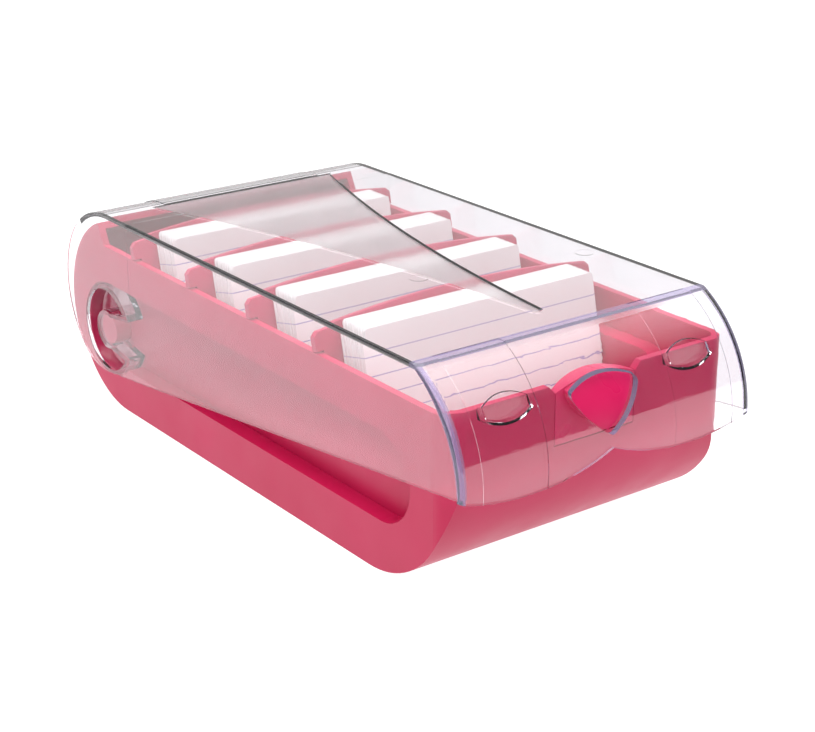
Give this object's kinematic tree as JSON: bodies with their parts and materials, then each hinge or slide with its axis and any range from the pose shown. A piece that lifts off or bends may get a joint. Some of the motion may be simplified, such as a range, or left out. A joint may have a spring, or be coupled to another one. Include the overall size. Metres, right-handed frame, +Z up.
{
  "type": "index card box",
  "caption": "Long desk box for upright index cards: open tub, hinged clear lid with a rounded front, leaning divider plates and a sprung latch tongue.",
  "frame": {"origin": "centre of the box's footprint, on the surface it stands on", "axes": "+Z up, +Y from the nose-like front towards the hinge, +X to the right of someone facing along +Y"},
  "size_m": [0.093, 0.1932, 0.06],
  "materials": {
    "tub": "satin moulded pink-red plastic",
    "clear_lid": "clear polished styrene",
    "latch": "satin moulded pink plastic",
    "divider": "satin moulded pink-red plastic",
    "card": "white card with thin lavender ruled lines"
  },
  "bodies": {
    "base": {"tub": "tub", "divider_1": "divider", "divider_2": "divider", "divider_3": "divider", "divider_4": "divider", "card_pack_1": "card", "card_pack_2": "card", "card_pack_3": "card", "card_pack_4": "card"},
    "lid": {"lid": "clear_lid"},
    "latch": {"latch_tongue": "latch"}
  },
  "joints": [
    {"name": "lid_hinge", "type": "hinge", "parent": "base", "child": "lid", "pos_m": [0, 0.0727, 0.024], "axis": [-1, 0, 0], "range_deg": [0, 85]},
    {"name": "latch_flex", "type": "hinge", "parent": "base", "child": "latch", "pos_m": [0, -0.0876, 0.0347], "axis": [-1, 0, 0], "range_deg": [0, 8], "stiffness_Nm_per_rad": 0.5}
  ]
}
